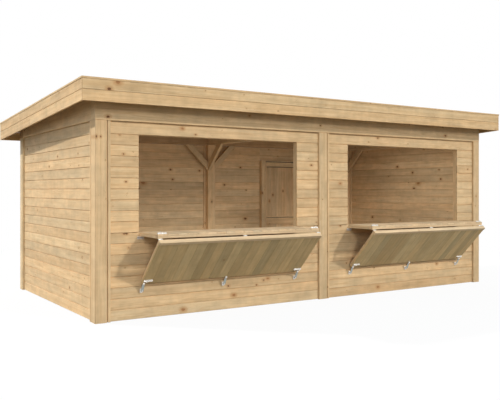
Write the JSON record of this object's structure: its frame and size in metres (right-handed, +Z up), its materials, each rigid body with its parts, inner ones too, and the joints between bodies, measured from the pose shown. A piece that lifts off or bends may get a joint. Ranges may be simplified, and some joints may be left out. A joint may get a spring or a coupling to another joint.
{
  "type": "wooden market stall",
  "caption": "Boarded timber market stall with square posts, a shallow pent roof, wide serving hatches folded down into counters and a boarded back door that swings outward.",
  "frame": {"origin": "middle of the footprint on the ground", "axes": "+Z up, front with the serving hatches faces -Y, +X along the front"},
  "size_m": [6.422, 3.7642, 2.5152],
  "materials": {
    "frame_timber": "planed, pressure treated",
    "wall_boards": "planed, pressure treated",
    "fascia_boards": "planed, pressure treated",
    "roof_timber": "sawn",
    "hatch_boards": "planed, pressure treated",
    "door_boards": "planed, pressure treated",
    "roof_felt": "mineral surfaced felt",
    "zinc_fittings": "zinc plated",
    "black_iron": "black painted"
  },
  "bodies": {
    "stall": {"front_posts": "frame_timber", "back_posts": "frame_timber", "front_beam": "frame_timber", "back_beam": "frame_timber", "cross_beams": "frame_timber", "knee_braces": "frame_timber", "rafters": "roof_timber", "roof_deck": "roof_timber", "roof_felt": "roof_felt", "front_fascia": "fascia_boards", "back_fascia": "fascia_boards", "left_fascia": "fascia_boards", "right_fascia": "fascia_boards", "front_left_wall": "wall_boards", "front_right_wall": "wall_boards", "left_wall": "wall_boards", "right_wall": "wall_boards", "back_left_wall": "wall_boards", "back_right_wall": "wall_boards", "over_door_wall": "wall_boards", "filler_strips": "frame_timber", "wall_battens": "frame_timber", "left_hatch_frame": "frame_timber", "right_hatch_frame": "frame_timber", "left_counter": "hatch_boards", "right_counter": "hatch_boards", "left_prop": "hatch_boards", "right_prop": "hatch_boards", "left_hinges": "zinc_fittings", "right_hinges": "zinc_fittings", "left_bolts": "zinc_fittings", "right_bolts": "zinc_fittings", "left_hooks": "zinc_fittings", "right_hooks": "zinc_fittings", "door_frame": "frame_timber", "door_pintles": "black_iron"},
    "door": {"door_leaf": "door_boards", "door_straps": "black_iron", "door_handle": "black_iron"}
  },
  "joints": [
    {"name": "door_swing", "type": "hinge", "parent": "stall", "child": "door", "pos_m": [1.9075, 1.58306, 0.9], "axis": [0, 0, -1], "range_deg": [0, 110]}
  ]
}
